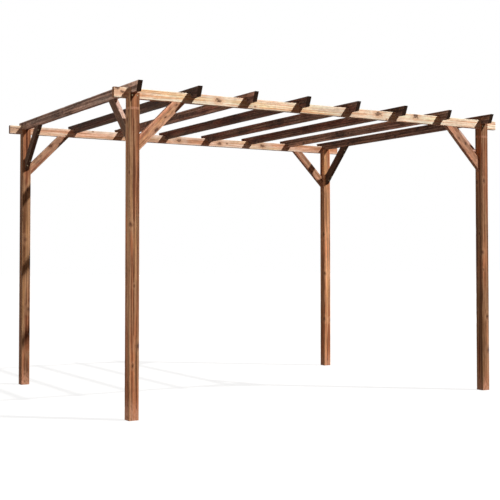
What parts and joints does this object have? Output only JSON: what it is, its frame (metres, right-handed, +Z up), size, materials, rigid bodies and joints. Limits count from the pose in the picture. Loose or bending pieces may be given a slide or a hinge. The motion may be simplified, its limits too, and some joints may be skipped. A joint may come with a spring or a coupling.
{
  "type": "wooden pergola",
  "caption": "Open free-standing timber pergola: square posts with forked tops carry long beams, notched rafters with slanted ends lie across, and diagonal braces stiffen the corners.",
  "frame": {"origin": "on the ground, in the middle of the footprint", "axes": "+X along the beams to the right, +Y along the rafters to the back, +Z up"},
  "size_m": [3.5, 2.57, 2.307],
  "materials": {
    "post_timber": "planed softwood, brown stained, knots and long grain showing",
    "beam_timber": "planed softwood, pale honey, knots showing",
    "rafter_timber": "planed softwood, dark brown stained",
    "brace_timber": "planed softwood, light brown stained"
  },
  "bodies": {
    "root": {"front_left_post": "post_timber", "front_right_post": "post_timber", "back_left_post": "post_timber", "back_right_post": "post_timber", "front_beam": "beam_timber", "back_beam": "beam_timber", "rafter_1": "rafter_timber", "rafter_2": "rafter_timber", "rafter_3": "rafter_timber", "rafter_4": "rafter_timber", "rafter_5": "rafter_timber", "rafter_6": "rafter_timber", "rafter_7": "rafter_timber", "rafter_8": "rafter_timber", "front_left_beam_brace": "brace_timber", "front_right_beam_brace": "brace_timber", "back_left_beam_brace": "brace_timber", "back_right_beam_brace": "brace_timber", "front_left_rafter_brace": "brace_timber", "front_right_rafter_brace": "brace_timber", "back_left_rafter_brace": "brace_timber", "back_right_rafter_brace": "brace_timber"}
  },
  "joints": []
}
